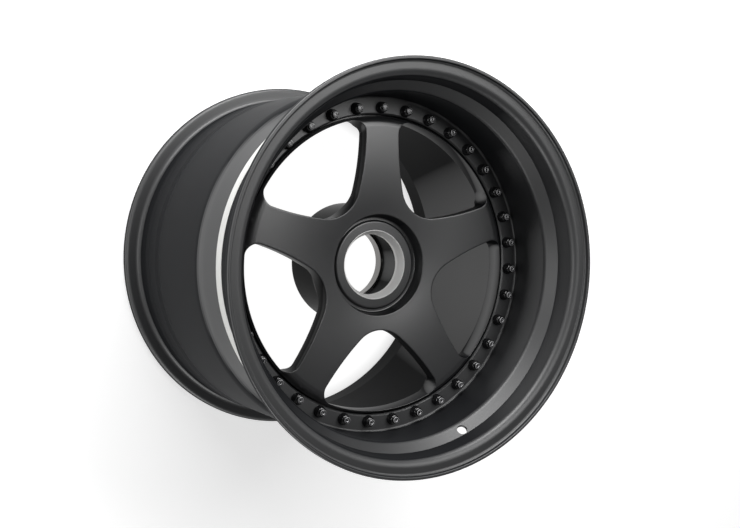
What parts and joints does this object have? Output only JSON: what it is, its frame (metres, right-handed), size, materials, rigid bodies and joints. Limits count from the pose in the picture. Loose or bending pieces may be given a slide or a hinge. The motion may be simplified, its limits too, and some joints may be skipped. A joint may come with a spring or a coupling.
{
  "type": "split rim wheel",
  "caption": "Deep-dish racing wheel with two bolted rim halves, a five-spoke centre and a single-nut hub, lying on its inboard flange.",
  "frame": {"origin": "on the wheel's axis, midway between the lips of the two flanges", "axes": "+Z along the wheel's axis towards the outboard face, +Y along spoke 1"},
  "size_m": [0.4406, 0.4406, 0.351],
  "materials": {
    "rim_black": "satin black powder coat",
    "centre_black": "satin black powder coat",
    "sealant": "smoothed pale sealant",
    "bare_steel": "turned bare steel",
    "bush_steel": "ground steel",
    "fastener_black": "gloss black plated"
  },
  "bodies": {
    "root": {"outer_rim_half": "rim_black", "inner_rim_half": "rim_black", "wheel_centre": "centre_black", "joint_sealant": "sealant", "nut_seat_ring": "bare_steel", "drive_bush_1": "bush_steel", "drive_bush_2": "bush_steel", "drive_bush_3": "bush_steel", "drive_bush_4": "bush_steel", "drive_bush_5": "bush_steel", "rim_bolts_1": "fastener_black", "rim_bolts_2": "fastener_black", "rim_bolts_3": "fastener_black", "rim_bolts_4": "fastener_black", "rim_bolts_5": "fastener_black", "rim_nuts_1": "fastener_black", "rim_nuts_2": "fastener_black", "rim_nuts_3": "fastener_black", "rim_nuts_4": "fastener_black", "rim_nuts_5": "fastener_black", "rim_washers_1": "fastener_black", "rim_washers_2": "fastener_black", "rim_washers_3": "fastener_black", "rim_washers_4": "fastener_black", "rim_washers_5": "fastener_black"}
  },
  "joints": []
}
